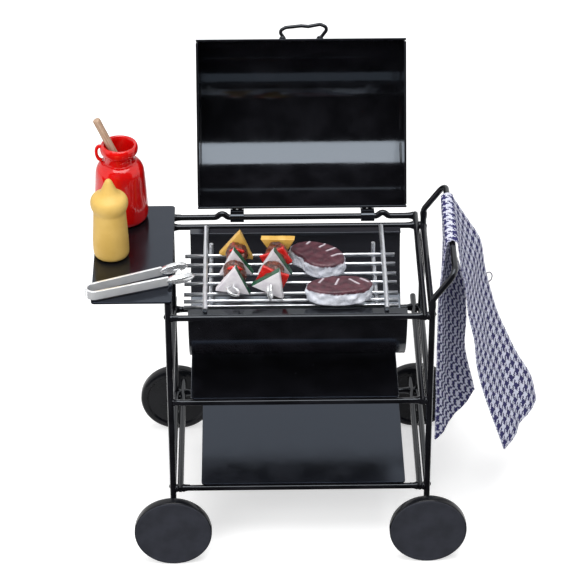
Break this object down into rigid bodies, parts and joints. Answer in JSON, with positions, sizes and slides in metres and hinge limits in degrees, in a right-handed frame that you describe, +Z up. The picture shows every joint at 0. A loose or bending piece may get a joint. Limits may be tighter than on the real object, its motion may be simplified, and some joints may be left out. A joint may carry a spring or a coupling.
{
  "type": "dollhouse barbecue grill",
  "caption": "Dollhouse barbecue grill: half-barrel firebox with a hinged lid on a wheeled wire frame, with shelves, towel rail, rack, play food, jar, bottle and tongs.",
  "frame": {"origin": "on the floor, under the middle of the whole toy's box", "axes": "+X to the right of someone who stands in front of the grill, +Y from its front to its back, +Z up"},
  "size_m": [0.1254, 0.0968, 0.1217],
  "materials": {
    "black_enamel": "black gloss enamel on steel wire and sheet",
    "slate_sheet": "dark slate satin paint on steel sheet",
    "wheel_plastic": "satin charcoal",
    "bright_wire": "bright plated",
    "toy_food": "painted modelling plastic",
    "toy_steak": "painted modelling plastic with pale marbling",
    "red_gloss": "glossy red",
    "bare_wood": "unfinished",
    "mustard_yellow": "satin mustard yellow",
    "checked_cloth": "woven navy and pale lavender houndstooth"
  },
  "bodies": {
    "cart": {"front_left_leg": "black_enamel", "front_right_leg": "black_enamel", "rear_left_leg": "black_enamel", "rear_right_leg": "black_enamel", "left_top_brace": "black_enamel", "left_middle_brace": "black_enamel", "left_low_brace": "black_enamel", "right_top_brace": "black_enamel", "right_middle_brace": "black_enamel", "right_low_brace": "black_enamel", "left_top_rail": "black_enamel", "left_middle_rail": "black_enamel", "left_low_rail": "black_enamel", "right_top_rail": "black_enamel", "right_middle_rail": "black_enamel", "right_low_rail": "black_enamel", "front_top_bar": "black_enamel", "front_middle_bar": "black_enamel", "front_low_bar": "black_enamel", "rear_top_bar": "black_enamel", "rear_middle_bar": "black_enamel", "rear_low_bar": "black_enamel", "hinge_rod": "black_enamel", "side_handle": "black_enamel", "middle_shelf": "slate_sheet", "bottom_shelf": "slate_sheet", "side_shelf": "slate_sheet", "firebox": "black_enamel"},
    "lid": {"lid_shell": "black_enamel", "lid_left_end": "black_enamel", "lid_right_end": "black_enamel", "lid_handle": "black_enamel", "left_strap": "black_enamel", "right_strap": "black_enamel"},
    "wheel_front_left": {"front_left_wheel": "wheel_plastic"},
    "wheel_front_right": {"front_right_wheel": "wheel_plastic"},
    "wheel_rear_left": {"rear_left_wheel": "wheel_plastic"},
    "wheel_rear_right": {"rear_right_wheel": "wheel_plastic"},
    "rack": {"grill_rack": "bright_wire"},
    "kebab_1": {"skewer_1": "bright_wire", "skewer_1_food": "toy_food"},
    "kebab_2": {"skewer_2": "bright_wire", "skewer_2_food": "toy_food"},
    "steak_rear": {"rear_steak": "toy_steak"},
    "steak_front": {"front_steak": "toy_steak"},
    "jar": {"sauce_jar": "red_gloss"},
    "stick": {"dip_stick": "bare_wood"},
    "mustard": {"mustard_bottle": "mustard_yellow"},
    "tongs": {"tongs_front_arm": "bright_wire"},
    "tongs_arm": {"tongs_rear_arm": "bright_wire"},
    "cloth": {"towel": "checked_cloth"}
  },
  "joints": [
    {"name": "lid_hinge", "type": "hinge", "parent": "cart", "child": "lid", "pos_m": [-0.0045, 0.01246, 0.075], "axis": [1, 0, 0], "range_deg": [0, 116]},
    {"name": "front_left_spin", "type": "hinge", "parent": "cart", "child": "wheel_front_left", "pos_m": [-0.041, -0.04644, 0.0106], "axis": [0, 1, 0], "continuous": true},
    {"name": "front_right_spin", "type": "hinge", "parent": "cart", "child": "wheel_front_right", "pos_m": [0.029, -0.04644, 0.0106], "axis": [0, 1, 0], "continuous": true},
    {"name": "rear_left_spin", "type": "hinge", "parent": "cart", "child": "wheel_rear_left", "pos_m": [-0.041, 0.01636, 0.0106], "axis": [0, 1, 0], "continuous": true},
    {"name": "rear_right_spin", "type": "hinge", "parent": "cart", "child": "wheel_rear_right", "pos_m": [0.029, 0.01636, 0.0106], "axis": [0, 1, 0], "continuous": true},
    {"name": "rack_lift", "type": "slide", "parent": "cart", "child": "rack", "axis": [0.5, 0, 0.866], "range_m": [0, 0.05]},
    {"name": "kebab_1_lift", "type": "slide", "parent": "rack", "child": "kebab_1", "axis": [0, 0, 1], "range_m": [0, 0.03]},
    {"name": "kebab_2_lift", "type": "slide", "parent": "rack", "child": "kebab_2", "axis": [0, 0, 1], "range_m": [0, 0.03]},
    {"name": "rear_steak_lift", "type": "slide", "parent": "rack", "child": "steak_rear", "axis": [0.6, 0, 0.8], "range_m": [0, 0.03]},
    {"name": "front_steak_lift", "type": "slide", "parent": "rack", "child": "steak_front", "axis": [0, 0, 1], "range_m": [0, 0.03]},
    {"name": "jar_lift", "type": "slide", "parent": "cart", "child": "jar", "axis": [0, 0, 1], "range_m": [0, 0.05]},
    {"name": "stick_pull", "type": "slide", "parent": "jar", "child": "stick", "axis": [-0.3907, 0, 0.9205], "range_m": [0, 0.02]},
    {"name": "mustard_lift", "type": "slide", "parent": "cart", "child": "mustard", "axis": [0, 0, 1], "range_m": [0, 0.05]},
    {"name": "tongs_lift", "type": "slide", "parent": "cart", "child": "tongs", "axis": [0, 0, 1], "range_m": [0, 0.04]},
    {"name": "tongs_squeeze", "type": "hinge", "parent": "tongs", "child": "tongs_arm", "pos_m": [-0.06223, -0.03599, 0.08235], "axis": [0, 0, -1], "range_deg": [0, 3.6], "stiffness_Nm_per_rad": 0.0002},
    {"name": "towel_slide", "type": "slide", "parent": "cart", "child": "cloth", "axis": [0, -1, 0], "range_m": [0, 0.009]}
  ]
}
